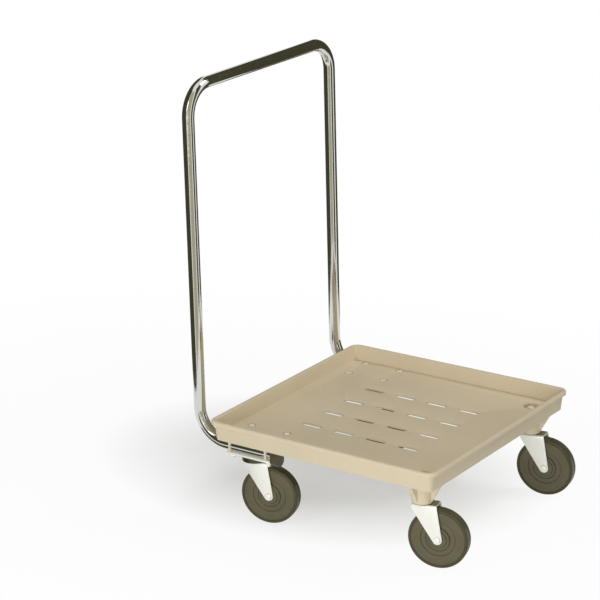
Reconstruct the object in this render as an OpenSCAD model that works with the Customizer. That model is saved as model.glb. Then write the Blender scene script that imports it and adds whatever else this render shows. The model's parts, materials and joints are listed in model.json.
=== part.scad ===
// Dish rack dolly: a square moulded tray on four swivel casters, with a tube push handle.
// +X is away from the handle, +Y is the pusher's left, +Z is up.
// The origin is on the floor, under the middle of the whole dolly.

/* [Tray] */
// Outer size of the square rim
tray_w = 556; // [540:1:580]
// Outer corner radius of the rim
tray_corner_r = 22; // [18:1:30]
// Height from the skirt's lower edge to the top of the rim
tray_h = 44.5; // [40:0.5:60]
// Width of the rolled rim, seen from above
rim_w = 10; // [8:0.5:14]
// Depth of the rolled rim
rim_depth = 9.5; // [8:0.5:14]
// Rounding of the rim's two upper edges
rim_round = 3.5; // [1:0.5:3.8]
// How far the rim overhangs the wall under it
rim_overhang = 6.5; // [4:0.5:7]
// How much the wall leans in from the rim down to the skirt's edge
wall_draft = 4.5; // [2:0.5:8]
// Thickness of the tray's walls
wall_t = 4; // [3:0.5:6]
// Depth of the tray, from the rim down to the deck
deck_depth = 32; // [25:0.5:34]
// Thickness of the deck
deck_t = 4; // [3:0.5:5]
// Thickness of the stiffening ribs under the deck
rib_t = 3; // [2:0.5:5]
// Spacing of the stiffening ribs and of the drain slots between them
rib_pitch = 80; // [70:1:84]
// Length of a drain slot in the deck
slot_l = 50; // [30:1:60]
// Width of a drain slot in the deck
slot_w = 12; // [6:1:20]

/* [Front bosses] */
// Diameter of the round boss over each front caster
boss_d = 45; // [42:0.5:52]
// Height of the boss below the skirt's edge
boss_h = 45.5; // [40:0.5:60]
// Thickness of the gussets round the boss
gusset_t = 5; // [3:0.5:8]
// Reach of the two inner gussets, from the swivel axis
gusset_reach = 30; // [26:0.5:40]
// Height of the gussets' lower ends above the boss's mouth
gusset_foot = 2; // [1:0.5:6]
// Height of the inner gussets' lower corners above the boss's mouth
inner_gusset_z = 5; // [3:0.5:20]
// Diameter of the pocket in the tray that the stem's nut sits in
pocket_d = 34; // [31:0.5:36]
// Thickness of moulding under the stem's nut, above the bearing cup
pocket_floor = 32; // [20:0.5:34]

/* [Handle] */
// Outer diameter of the handle tube
tube_d = 25.4; // [22:0.1:26]
// Wall of the handle tube
tube_wall = 1.6; // [1.2:0.1:2.5]
// Distance from the rim's side edges in to the middle of the handle's legs
handle_inset = 25.7; // [25:0.1:27.5]
// Height of the middle of the push bar above the floor
bar_z = 932.5; // [800:0.5:1050]
// Bend radius of the two top corners, on the tube's centre line
top_bend_r = 64; // [45:1:90]
// Bend radius of the two low corners, on the tube's centre line
low_bend_r = 70; // [50:1:71]
// Distance from the rim back to the legs' centre line
handle_setback = 37; // [36.5:0.1:44]
// Length of tube past the front pair of plate bolts
tube_tail = 29.5; // [29:0.5:60]
// Length of the tube that the end cap covers
cap_l = 17; // [12:0.5:17]
// Wall of the end cap
cap_wall = 1.2; // [1:0.1:2.5]
// How far the middle of the cap's hanging lower part lies below the tube's
cap_drop = 10.5; // [4:0.5:12]

/* [Caster places] */
// Distance from the rim's front edge back to the front swivel axes
front_inset = 61.4; // [60:0.1:70]
// Distance from the rim's rear edge forward to the rear swivel axes
rear_inset = 77.5; // [75:0.1:90]
// Distance from the rim's side edges in to the swivel axes
side_inset = 59.5; // [59:0.1:64]
// Angle that the rear right caster stands at
rear_right_turn = 13.5; // [-30:0.5:30]
// Angle that the front right caster stands at
front_right_turn = 14.5; // [-30:0.5:30]
// Angle that the front left caster stands at
front_left_turn = 10.5; // [-30:0.5:30]
// Angle that the rear left caster stands at
rear_left_turn = 12; // [-30:0.5:30]

/* [Wheels] */
// Diameter of the wheel
wheel_d = 127; // [120:0.5:135]
// Width of the tread
wheel_w = 24; // [20:0.5:25]
// Rounding of the tread's shoulders
shoulder_r = 3; // [1:0.5:5]
// Thickness of the rubber on the wheel's rim
tyre_t = 6.5; // [5:0.5:10]
// Diameter of the raised hub
hub_d = 38; // [30:1:44]
// Diameter of the step round the hub
hub_step_d = 50; // [46:1:60]
// Outer diameter of the recessed web
web_d = 74; // [64:1:90]
// Depth of the web's recess below the rim's face
web_recess = 1; // [0.5:0.1:3]
// Distance from the swivel axis to the axle
trail = 35.3; // [30:0.1:40]

/* [Forks] */
// Width of the fork over its two legs
fork_w = 34; // [34:0.5:40]
// Thickness of the fork's sheet steel
fork_t = 2.8; // [2:0.1:3]
// Outer bend radius between the fork's crown and its legs
fork_bend_r = 5; // [4:0.5:8]
// Gap between the top of the wheel and the fork's crown
wheel_gap = 7.7; // [3.2:0.1:8]
// Length of the crown behind the swivel axis
crown_back = 18.2; // [16:0.1:22]
// Length of the crown ahead of the swivel axis
crown_front = 34; // [28:0.1:36]
// Straight drop of the leg's rear edge before it slants
fork_shoulder = 10; // [4:0.5:16]
// Radius of the leg's rounded lower end
fork_tip_r = 10; // [8:0.5:14]

/* [Swivel bearings] */
// Diameter of the bearing balls
ball_d = 6.35; // [5:0.05:6.5]
// Sheet thickness of the pressed bearing cups
cup_t = 1.5; // [1:0.1:1.5]
// Height of the rear bearing cup
rear_cup_h = 21; // [16:0.1:22]
// Height over which the rear cup widens from its neck to its mouth
rear_cup_shoulder = 8; // [5:0.5:10]
// Diameter of the rear bearing cup at its mouth
rear_cup_d = 54; // [51:0.5:56]
// Diameter of the rear circle of balls
rear_ball_circle = 38; // [34:0.5:38]
// Diameter of the front bearing cup in its boss
front_cup_d = 35; // [34:0.5:37]
// Diameter of the flange at the mouth of the front cup
front_flange_d = 43; // [40:0.5:45]
// Diameter of the front circle of balls
front_ball_circle = 24.5; // [24:0.1:25]
// Diameter of the rear kingpin
kingpin_d = 12; // [10:0.1:13]
// Diameter of the front stem
stem_d = 12.7; // [10:0.1:13]
// Diameter of the pin's head under the crown
pin_head_d = 21; // [18:0.5:24]

/* [Plates and fasteners] */
// Length of the rear caster's plate
plate_l = 112; // [108:0.5:120]
// Width of the rear caster's plate
plate_w = 94; // [86:0.5:94]
// Thickness of the rear caster's plate
plate_t = 4.2; // [2.5:0.1:5]
// Corner radius of the plate
plate_corner_r = 8; // [4:0.5:12]
// How far the plate's middle lies ahead of the swivel axis
plate_shift = 15.5; // [4:0.5:18]
// Distance between the plate's front and rear bolts
plate_bolt_span = 92; // [88:0.5:94]
// Diameter of the plate bolts
bolt_d = 8; // [6:0.1:8]
// Width across flats of the plate bolts and nuts
bolt_flats = 13; // [11:0.1:14]
// Thickness of the webs that carry the tube at the plate bolts
web_t = 5; // [4:0.5:12]
// Thickness of the webs on the inner side of the tube
web_inner_t = 5; // [3:0.5:10]
// Diameter of the round bosses over the plate bolts
bolt_boss_d = 22; // [20:0.5:23]
// Diameter of the wheel's axle bolt
axle_d = 8; // [7:0.1:9]
// Outer diameter of the sleeve between the fork's legs
sleeve_d = 12.7; // [11.5:0.1:14]
// Outer diameter of the bushing in the wheel
bushing_d = 18; // [16:0.5:20]
// Width across flats of the stem's nut
stem_nut_flats = 19; // [17:0.5:22]

/* [Fits] */
// Radial clearance of a shaft that turns in its bore
run_fit = 0.08; // [0.03:0.01:0.1]
// Gap between faces that move past each other
swivel_gap = 0.3; // [0.3:0.05:0.6]
// Radial clearance of a fixed piece in its hole
hole_fit = 0.3; // [0.1:0.05:0.5]
// Gap at a ball in its groove and at a tube in its webs
seat_gap = 0.05; // [0.02:0.01:0.1]

/* [Hidden] */
curve_fn = 96;
hull_fn = 32;
cut = 1;
SPINS = ["rear_left", "rear_right", "front_left", "front_right"];

// Heights, from the floor up
wheel_r = wheel_d / 2;
crown_top = wheel_d + wheel_gap + fork_t;
crown_under = crown_top - fork_t;
cup_mouth = crown_top + swivel_gap;
front_flange_t = 1.2;
boss_bottom = cup_mouth + front_flange_t;
skirt_z = boss_bottom + boss_h;
rim_z = skirt_z + tray_h;
deck_z = rim_z - deck_depth;
deck_under = deck_z - deck_t;
plate_under = cup_mouth + rear_cup_h;
plate_top = plate_under + plate_t;
tube_r = tube_d / 2;
tube_z = plate_top + tube_r;

// Tray outlines, as half widths
rim_half = tray_w / 2;
rim_inner_half = rim_half - rim_w;
wall_top_half = rim_half - rim_overhang;
skirt_half = wall_top_half - wall_draft;
wall_top_z = rim_z - rim_round - cut;
wall_corner_r = tray_corner_r - wall_t;
inner_corner_r = wall_corner_r - wall_t;
bay_half = skirt_half - wall_t;
half_ribs = 2;

// Front bearing cup and stem
cup_cavity = ball_d + 2 * swivel_gap;
race_rise = 2;
groove = 0.8;
front_cup_top = crown_top + race_rise - groove + cup_cavity + cup_t;
pocket_z = front_cup_top + pocket_floor;
stem_washer_t = 1.6;
stem_nut_h = 11;
stem_end = 3;
shoulder_t = 1.8;
pin_head_t = 2.4;
rivet_head_t = 3.5;
rivet_head_d = 20;

// Plate bolts
bolt_head_h = 5.3;
bolt_nut_h = 6.8;
bolt_end = 5.5;
head_sink = 5.5;
head_sink_d = 18;

// Axle
axle_head_h = 4.5;
axle_nut_h = 7;
axle_end = 1.5;
hub_gap = 0.5;
hub_step_rise = 0.2;
core_inset = 0.4;
hub_half = fork_w / 2 - fork_t - hub_gap;
hub_step_half = wheel_w / 2 + hub_step_rise;
core_half = wheel_w / 2 - core_inset;
core_r = wheel_r - tyre_t;

// Casters: where they swivel from the middle of the tray, and how each one stands
swivel_y = rim_half - side_inset;
front_swivel_x = rim_half - front_inset;
rear_swivel_x = rear_inset - rim_half;
TURNS = [rear_left_turn, rear_right_turn, front_left_turn, front_right_turn];
function is_front(i) = i > 1;
function side_of(i) = i % 2 == 0 ? 1 : -1;
function swivel_x_of(i) = is_front(i) ? front_swivel_x : rear_swivel_x;
plate_x = rear_swivel_x + plate_shift;

// Handle
handle_y = rim_half - handle_inset;
leg_x = -rim_half - handle_setback;
bend_x = leg_x + low_bend_r;
bend_z = tube_z + low_bend_r;
leg_l = bar_z - top_bend_r - bend_z;
tube_end_x = plate_x + plate_bolt_span / 2 + tube_tail;

// The tray's middle lies off the dolly's, because the handle reaches further than the wheels
function wheel_reach(i) = swivel_x_of(i) + trail * cos(TURNS[i]) + shoulder_r
    + (wheel_r - shoulder_r) * cos(TURNS[i]) + (wheel_w / 2 - shoulder_r) * abs(sin(TURNS[i]));
front_end = max(rim_half, wheel_reach(2), wheel_reach(3));
rear_end = leg_x - tube_r;
tray_x = -(front_end + rear_end) / 2;

BEIGE = [0.82, 0.77, 0.67];
CHROME = [0.78, 0.79, 0.80];
ZINC = [0.86, 0.87, 0.84];
DARK_STEEL = [0.33, 0.32, 0.29];
RUBBER = [0.30, 0.29, 0.23];
CORE = [0.41, 0.39, 0.31];
VINYL = [0.16, 0.16, 0.14];
BRONZE = [0.55, 0.50, 0.38];

// Shapes that repeat
module tube_ring(outer_r, inner_r, h) {
    difference() {
        cylinder(r = outer_r, h = h, $fn = curve_fn);
        translate([0, 0, -cut]) cylinder(r = inner_r, h = h + 2 * cut, $fn = curve_fn);
    }
}

module hexagon(flats, h) {
    cylinder(d = flats / cos(30), h = h, $fn = 6);
}

module hex_nut(flats, hole_d, h) {
    difference() {
        hexagon(flats, h);
        translate([0, 0, -cut]) cylinder(d = hole_d, h = h + 2 * cut, $fn = curve_fn);
    }
}

module rounded_rect(l, w, r) {
    square([l - 2 * r, w], center = true);
    square([l, w - 2 * r], center = true);
    for (x = [-1, 1], y = [-1, 1])
        translate([x * (l / 2 - r), y * (w / 2 - r)]) circle(r = r, $fn = curve_fn);
}

// A square block with rounded corners and leaning sides
module drafted_block(low_half, high_half, corner_r, low_z, high_z) {
    thin = 0.01;
    hull() for (x = [-1, 1], y = [-1, 1]) {
        translate([x * (low_half - corner_r), y * (low_half - corner_r), low_z])
            cylinder(r = corner_r, h = thin, $fn = hull_fn);
        translate([x * (high_half - corner_r), y * (high_half - corner_r), high_z - thin])
            cylinder(r = corner_r, h = thin, $fn = hull_fn);
    }
}

module on_tray() {
    translate([tray_x, 0, 0]) children();
}

module at_swivel(i) {
    on_tray() translate([swivel_x_of(i), side_of(i) * swivel_y, 0]) rotate([0, 0, TURNS[i]]) children();
}

module at_axle(i) {
    at_swivel(i) translate([trail, 0, wheel_r]) rotate([90, 0, 0]) children();
}

// The four bolts of a rear plate: one side's pair goes through the handle tube
module at_plate_bolts(side) {
    on_tray() for (x = [-1, 1], y = [handle_y, 2 * swivel_y - handle_y])
        translate([plate_x + x * plate_bolt_span / 2, side * y, 0]) children();
}

// Tray
module rim_section() {
    translate([tray_corner_r - rim_w, -rim_depth]) {
        square([rim_w, rim_depth - rim_round]);
        translate([rim_round, 0]) square([rim_w - 2 * rim_round, rim_depth]);
        for (x = [rim_round, rim_w - rim_round])
            translate([x, rim_depth - rim_round]) circle(r = rim_round, $fn = hull_fn);
    }
}

module rim() {
    side_l = tray_w - 2 * tray_corner_r;
    for (a = [0:90:270]) rotate([0, 0, a]) translate([side_l / 2, side_l / 2, rim_z]) {
        rotate_extrude(angle = 90, $fn = curve_fn) rim_section();
        rotate([90, 0, 0]) linear_extrude(side_l) rim_section();
    }
}

module deck_ribs() {
    rib_h = deck_under - skirt_z + cut;
    for (a = [0, 90], n = [-half_ribs:half_ribs]) rotate([0, 0, a])
        translate([n * rib_pitch - rib_t / 2, -bay_half - cut, skirt_z])
            cube([rib_t, 2 * (bay_half + cut), rib_h]);
}

module drain_slots() {
    between = [for (n = [1:2 * half_ribs]) (n - half_ribs) * rib_pitch - rib_pitch / 2];
    for (x = between, y = between) translate([x, y, deck_under - cut])
        linear_extrude(deck_t + 2 * cut) rounded_rect(slot_l, slot_w, slot_w / 2 - seat_gap);
}

// A gusset along +X: its outer edge runs down to outer_z, and its lower edge from there in to the boss
module gusset(reach, outer_z) {
    foot_z = boss_bottom + gusset_foot;
    rotate([90, 0, 0]) translate([0, 0, -gusset_t / 2]) linear_extrude(gusset_t) polygon([
        [0, deck_under + cut], [reach, deck_under + cut], [reach, outer_z],
        [boss_d / 2 - cut, foot_z], [0, foot_z]
    ]);
}

module front_boss(side) {
    translate([front_swivel_x, side * swivel_y, 0]) {
        translate([0, 0, boss_bottom]) cylinder(d = boss_d, h = deck_z - boss_bottom, $fn = curve_fn);
        gusset(bay_half + cut - front_swivel_x, skirt_z);
        rotate([0, 0, side * 90]) gusset(bay_half + cut - swivel_y, skirt_z);
        for (a = [180, -side * 90]) rotate([0, 0, a]) gusset(gusset_reach, boss_bottom + inner_gusset_z);
    }
}

module front_boss_holes(side) {
    translate([front_swivel_x, side * swivel_y, 0]) {
        translate([0, 0, pocket_z]) cylinder(d = pocket_d, h = tray_h, $fn = curve_fn);
        translate([0, 0, boss_bottom - cut]) cylinder(d = stem_d + 2 * hole_fit, h = boss_h, $fn = curve_fn);
        translate([0, 0, boss_bottom - cut])
            cylinder(d = front_cup_d + 2 * seat_gap, h = front_cup_top - boss_bottom + cut, $fn = curve_fn);
    }
}

module tube_webs(side) {
    inner_side = tube_r + web_inner_t;
    for (x = [-1, 1]) translate([plate_x + x * plate_bolt_span / 2, side * handle_y, 0]) {
        outer_side = skirt_half - handle_y;
        low = side > 0 ? -inner_side : -outer_side;
        translate([-web_t / 2, low, plate_top])
            cube([web_t, inner_side + outer_side, deck_under + cut - plate_top]);
        translate([0, 0, tube_z]) cylinder(d = bolt_boss_d, h = deck_z - tube_z, $fn = curve_fn);
        translate([0, -side * (2 * handle_y - 2 * swivel_y), plate_top])
            cylinder(d = bolt_boss_d, h = deck_z - plate_top, $fn = curve_fn);
    }
}

// Room for the tube, its low bend and its end cap under the deck
module tube_channel(side) {
    r = tube_r + seat_gap;
    cap_r = tube_r + cap_wall + hole_fit;
    translate([0, side * handle_y, 0]) {
        translate([tube_end_x, 0, tube_z]) rotate([0, -90, 0]) {
            cylinder(r = r, h = tube_end_x - bend_x + cut, $fn = curve_fn);
            translate([0, 0, -cap_wall - hole_fit])
                cylinder(r = cap_r, h = cap_l + cap_wall + 2 * hole_fit, $fn = curve_fn);
        }
        low_bend() circle(r = r, $fn = curve_fn);
    }
}

module tray() {
    color(BEIGE) difference() {
        union() {
            on_tray() difference() {
                union() {
                    drafted_block(skirt_half, wall_top_half, wall_corner_r, skirt_z, wall_top_z);
                    rim();
                }
                drafted_block(bay_half, rim_inner_half, inner_corner_r, deck_z, rim_z + seat_gap);
                translate([0, 0, skirt_z - cut]) linear_extrude(deck_under - skirt_z + cut)
                    rounded_rect(2 * bay_half, 2 * bay_half, inner_corner_r);
                drain_slots();
            }
            on_tray() {
                intersection() {
                    deck_ribs();
                    translate([0, 0, skirt_z]) linear_extrude(deck_depth)
                        rounded_rect(2 * skirt_half - wall_t, 2 * skirt_half - wall_t, wall_corner_r);
                }
                for (side = [-1, 1]) {
                    front_boss(side);
                    tube_webs(side);
                }
            }
        }
        on_tray() for (side = [-1, 1]) {
            front_boss_holes(side);
            tube_channel(side);
        }
        for (side = [-1, 1]) at_plate_bolts(side) {
            translate([0, 0, plate_top - cut])
                cylinder(d = bolt_d + 2 * hole_fit, h = deck_z - plate_top + 2 * cut, $fn = curve_fn);
            translate([0, 0, deck_z - head_sink])
                cylinder(d = head_sink_d, h = head_sink + cut, $fn = curve_fn);
        }
    }
}

// Handle
module tube_section() {
    difference() {
        circle(r = tube_r, $fn = curve_fn);
        circle(r = tube_r - tube_wall, $fn = curve_fn);
    }
}

module bend(r) {
    rotate_extrude(angle = 90, $fn = curve_fn) translate([r, 0]) children();
}

module low_bend() {
    translate([bend_x, 0, bend_z]) rotate([90, 0, 0]) rotate([0, 0, 180]) bend(low_bend_r) children();
}

module handle_side() {
    translate([tube_end_x, 0, tube_z]) rotate([0, -90, 0]) linear_extrude(tube_end_x - bend_x) tube_section();
    low_bend() tube_section();
    translate([leg_x, 0, bend_z]) linear_extrude(leg_l) tube_section();
    translate([leg_x, -top_bend_r, bend_z + leg_l]) rotate([90, 0, 90])
        bend(top_bend_r) tube_section();
}

module push_handle() {
    bar_l = 2 * (handle_y - top_bend_r);
    color(CHROME) on_tray() difference() {
        union() {
            translate([0, handle_y, 0]) handle_side();
            mirror([0, 1, 0]) translate([0, handle_y, 0]) handle_side();
            translate([leg_x, bar_l / 2, bar_z]) rotate([90, 0, 0]) linear_extrude(bar_l) tube_section();
        }
        for (side = [-1, 1], x = [-1, 1])
            translate([plate_x + x * plate_bolt_span / 2, side * handle_y, plate_top - cut])
                cylinder(d = bolt_d + 2 * hole_fit, h = tube_d + 2 * cut, $fn = curve_fn);
    }
}

// The end cap seen along the tube: it hangs below the tube
module cap_section() {
    r = tube_r + cap_wall;
    for (x = [0, -cap_drop]) translate([x, 0]) circle(r = r, $fn = curve_fn);
    translate([-cap_drop, -r]) square([cap_drop, 2 * r]);
}

module tube_cap(side) {
    color(VINYL) on_tray() translate([tube_end_x, side * handle_y, tube_z]) rotate([0, -90, 0]) difference() {
        translate([0, 0, -cap_wall]) linear_extrude(cap_l + cap_wall) cap_section();
        cylinder(r = tube_r, h = cap_l + cut, $fn = curve_fn);
    }
}

// Rear caster plates and their fasteners
module plate(i) {
    color(ZINC) difference() {
        on_tray() translate([plate_x, side_of(i) * swivel_y, plate_under]) linear_extrude(plate_t)
            rounded_rect(plate_l, plate_w, plate_corner_r);
        at_swivel(i) translate([0, 0, plate_under - cut])
            cylinder(d = kingpin_d + 2 * seat_gap, h = plate_t + 2 * cut, $fn = curve_fn);
        at_plate_bolts(side_of(i)) translate([0, 0, plate_under - cut])
            cylinder(d = bolt_d + 2 * hole_fit, h = plate_t + 2 * cut, $fn = curve_fn);
    }
}

module plate_bolts(i) {
    low = plate_under - bolt_nut_h - bolt_end;
    seat = deck_z - head_sink;
    color(ZINC) at_plate_bolts(side_of(i)) {
        translate([0, 0, low]) cylinder(d = bolt_d, h = seat - low, $fn = curve_fn);
        translate([0, 0, seat]) hexagon(bolt_flats, bolt_head_h);
    }
}

module plate_nuts(i) {
    color(ZINC) at_plate_bolts(side_of(i)) translate([0, 0, plate_under - bolt_nut_h])
        hex_nut(bolt_flats, bolt_d + 2 * seat_gap, bolt_nut_h);
}

// Pins that the forks swivel on
module pin_head() {
    translate([0, 0, crown_under - swivel_gap - pin_head_t])
        cylinder(d = pin_head_d, h = pin_head_t, $fn = curve_fn);
}

module kingpin(i) {
    low = crown_under - swivel_gap;
    color(ZINC) at_swivel(i) {
        pin_head();
        translate([0, 0, low]) cylinder(d = kingpin_d, h = plate_top - low, $fn = curve_fn);
        translate([0, 0, plate_top]) cylinder(d = rivet_head_d, h = rivet_head_t, $fn = curve_fn);
    }
}

module stem(i) {
    low = crown_under - swivel_gap;
    top = pocket_z + stem_washer_t + stem_nut_h + stem_end;
    under_cup = front_cup_top - cup_t;
    color(ZINC) at_swivel(i) {
        pin_head();
        translate([0, 0, low]) cylinder(d = stem_d, h = top - low, $fn = curve_fn);
        translate([0, 0, under_cup - shoulder_t])
            cylinder(d = front_ball_circle - ball_d - 2 * swivel_gap, h = shoulder_t, $fn = curve_fn);
    }
}

module stem_washer(i) {
    color(ZINC) at_swivel(i) translate([0, 0, pocket_z])
        tube_ring(pocket_d / 2 - hole_fit - cut, stem_d / 2 + hole_fit, stem_washer_t);
}

module stem_nut(i) {
    color(ZINC) at_swivel(i) translate([0, 0, pocket_z + stem_washer_t])
        hex_nut(stem_nut_flats, stem_d + 2 * seat_gap, stem_nut_h);
}

// Swivel bearings
function ball_circle_of(i) = is_front(i) ? front_ball_circle : rear_ball_circle;
function pin_d_of(i) = is_front(i) ? stem_d : kingpin_d;
function cup_top_of(i) = is_front(i) ? front_cup_top : plate_under;
function ball_z_of(i) = cup_top_of(i) - cup_t - swivel_gap - ball_d / 2;

module race_cup(i) {
    r = rear_cup_d / 2;
    neck = ball_circle_of(i) / 2 + ball_d / 2 + swivel_gap + cup_t;
    hole = pin_d_of(i) / 2 + seat_gap;
    top = cup_top_of(i);
    skirt = top - rear_cup_shoulder;
    front_r = front_cup_d / 2;
    profile = is_front(i)
        ? [[hole, top], [front_r, top], [front_r, boss_bottom], [front_flange_d / 2, boss_bottom],
            [front_flange_d / 2, cup_mouth], [front_r - cup_t, cup_mouth], [front_r - cup_t, top - cup_t],
            [hole, top - cup_t]]
        : [[hole, top], [neck, top], [r, skirt], [r, cup_mouth], [r - cup_t, cup_mouth], [r - cup_t, skirt],
            [neck - cup_t, top - cup_t], [hole, top - cup_t]];
    color(DARK_STEEL) at_swivel(i) rotate_extrude($fn = curve_fn) polygon(profile);
}

module race_balls(i) {
    circle_r = ball_circle_of(i) / 2;
    count = floor(360 / (2 * asin((ball_d / 2 + swivel_gap) / circle_r)));
    color(CHROME) at_swivel(i) for (n = [0:count - 1]) rotate([0, 0, n * 360 / count])
        translate([circle_r, 0, ball_z_of(i)]) sphere(d = ball_d, $fn = hull_fn);
}

module lower_race(i) {
    circle_r = ball_circle_of(i) / 2;
    ball_z = ball_z_of(i);
    seat = ball_z - ball_d / 2 - seat_gap + groove;
    brim_r = is_front(i) ? circle_r : circle_r + ball_d / 2 + cup_t;
    inner_r = pin_d_of(i) / 2 + swivel_gap;
    outer_r = circle_r + ball_d / 2 - groove;
    color(DARK_STEEL) at_swivel(i) difference() {
        union() {
            translate([0, 0, crown_top]) cylinder(r = outer_r, h = seat - crown_top, $fn = curve_fn);
            translate([0, 0, crown_top]) cylinder(r = brim_r, h = cup_t, $fn = curve_fn);
        }
        translate([0, 0, crown_top - cut])
            cylinder(r = inner_r, h = seat - crown_top + 2 * cut, $fn = curve_fn);
        rotate_extrude($fn = curve_fn) translate([circle_r, ball_z])
            circle(d = ball_d + 2 * seat_gap, $fn = curve_fn);
    }
}

// Forks
axle_at = [trail, wheel_r];
back_corner = [-crown_back, crown_top - fork_shoulder];
front_corner = [crown_front, crown_top];
// Point where a line from a corner touches the leg's rounded end, on the side that turn picks
function touch(corner, turn) =
    let (v = corner - axle_at, a = atan2(v[1], v[0]) + turn * acos(fork_tip_r / norm(v)))
    axle_at + fork_tip_r * [cos(a), sin(a)];

function arc(centre, r, from, to) = let (steps = 12)
    [for (k = [0:steps]) let (a = from + (to - from) * k / steps) centre + r * [cos(a), sin(a)]];
function angle_of(v) = atan2(v[1], v[0]);

module fork_side() {
    low = touch(front_corner, -1) - axle_at;
    high = touch(back_corner, 1) - axle_at;
    polygon(concat([[-crown_back, crown_top], front_corner],
        arc(axle_at, fork_tip_r, angle_of(low), angle_of(high) - 360 * (angle_of(high) > 0 ? 1 : 0)),
        [back_corner]));
}

module arch(half_w, top, r) {
    low = wheel_r - 2 * fork_tip_r;
    polygon(concat([[-half_w, low]], arc([r - half_w, top - r], r, 180, 90),
        arc([half_w - r, top - r], r, 90, 0), [[half_w, low]]));
}

module fork(i) {
    reach = trail + fork_tip_r + crown_back;
    color(ZINC) at_swivel(i) difference() {
        intersection() {
            translate([-crown_back - cut, 0, 0]) rotate([90, 0, 90]) linear_extrude(reach + 2 * cut)
                difference() {
                    arch(fork_w / 2, crown_top, fork_bend_r);
                    translate([0, -cut]) arch(fork_w / 2 - fork_t, crown_under + cut, fork_bend_r - fork_t);
                }
            rotate([90, 0, 0]) translate([0, 0, -fork_w]) linear_extrude(2 * fork_w) fork_side();
        }
        translate([0, 0, crown_under - cut])
            cylinder(d = pin_d_of(i) + 2 * run_fit, h = fork_t + 2 * cut, $fn = curve_fn);
        translate([trail, fork_w, wheel_r]) rotate([90, 0, 0])
            cylinder(d = axle_d + 2 * seat_gap, h = 2 * fork_w, $fn = curve_fn);
    }
}

// Axles
module axle_bolt(i) {
    low = fork_w / 2 + axle_nut_h + axle_end;
    color(ZINC) at_axle(i) {
        translate([0, 0, -low]) cylinder(d = axle_d, h = low + fork_w / 2, $fn = curve_fn);
        translate([0, 0, fork_w / 2]) hexagon(bolt_flats, axle_head_h);
    }
}

module axle_nut(i) {
    color(ZINC) at_axle(i) translate([0, 0, -fork_w / 2 - axle_nut_h])
        hex_nut(bolt_flats, axle_d + 2 * seat_gap, axle_nut_h);
}

module axle_sleeve(i) {
    half = fork_w / 2 - fork_t;
    color(DARK_STEEL) at_axle(i) translate([0, 0, -half])
        tube_ring(sleeve_d / 2, axle_d / 2 + seat_gap, 2 * half);
}

// Wheels
module wheel_bushing(i) {
    color(BRONZE) at_axle(i) translate([0, 0, -hub_half])
        tube_ring(bushing_d / 2, sleeve_d / 2 + run_fit, 2 * hub_half);
}

module band(inner_r, outer_r, half) {
    translate([inner_r, -half]) square([outer_r - inner_r, 2 * half]);
}

module wheel_core(i) {
    color(CORE) at_axle(i) rotate_extrude($fn = curve_fn) {
        band(bushing_d / 2, hub_d / 2, hub_half);
        band(bushing_d / 2, hub_step_d / 2, hub_step_half);
        band(bushing_d / 2, core_r, core_half - web_recess);
        band(web_d / 2, core_r, core_half);
    }
}

module tyre(i) {
    half = wheel_w / 2;
    color(RUBBER) at_axle(i) rotate_extrude($fn = curve_fn) {
        band(core_r, wheel_r - shoulder_r, half);
        band(core_r, wheel_r, half - shoulder_r);
        for (z = [-1, 1]) translate([wheel_r - shoulder_r, z * (half - shoulder_r)])
            circle(r = shoulder_r, $fn = curve_fn);
    }
}

tray();
push_handle();
tube_cap(1);  // tube_cap_left
tube_cap(-1);  // tube_cap_right
for (i = [0, 1]) {
    plate(i);
    plate_bolts(i);
    plate_nuts(i);
    kingpin(i);
}
for (i = [2, 3]) {
    stem(i);
    stem_washer(i);
    stem_nut(i);
}
for (i = [0:3]) {
    race_cup(i);
    race_balls(i);
    lower_race(i);
    fork(i);
    axle_bolt(i);
    axle_nut(i);
    axle_sleeve(i);
    wheel_bushing(i);
    wheel_core(i);
    tyre(i);
}
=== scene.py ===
"""Dish rack dolly: a moulded tray on four swivel casters, with a bent tube push handle."""

import json
import math

import bmesh
import bpy
from bpy.props import FloatProperty, FloatVectorProperty, IntProperty, PointerProperty
from mathutils import Matrix, Vector


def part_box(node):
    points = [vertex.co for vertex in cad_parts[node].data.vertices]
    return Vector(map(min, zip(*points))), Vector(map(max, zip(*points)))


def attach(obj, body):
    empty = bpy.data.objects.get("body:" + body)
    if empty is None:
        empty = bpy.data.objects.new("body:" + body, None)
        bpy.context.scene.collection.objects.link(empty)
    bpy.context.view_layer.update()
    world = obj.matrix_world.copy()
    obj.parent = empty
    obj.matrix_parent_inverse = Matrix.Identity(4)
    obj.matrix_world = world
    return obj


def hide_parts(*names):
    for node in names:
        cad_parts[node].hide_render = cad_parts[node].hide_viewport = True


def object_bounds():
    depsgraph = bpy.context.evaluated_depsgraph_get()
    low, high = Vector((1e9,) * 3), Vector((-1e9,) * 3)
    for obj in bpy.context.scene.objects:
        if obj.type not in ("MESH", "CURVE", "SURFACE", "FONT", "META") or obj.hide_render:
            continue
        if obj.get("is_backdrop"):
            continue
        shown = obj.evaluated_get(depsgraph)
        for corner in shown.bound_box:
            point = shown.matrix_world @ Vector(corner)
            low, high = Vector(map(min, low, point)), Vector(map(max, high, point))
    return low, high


bl_info = {
    "name": "Dish Rack Dolly",
    "version": (1, 0, 0),
    "blender": (4, 5, 0),
    "location": "View3D > Sidebar > Dolly",
    "description": "Dresses a square tray dolly: tray, push handle, swivel casters, finishes and studio",
    "category": "Add Mesh",
}

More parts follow.
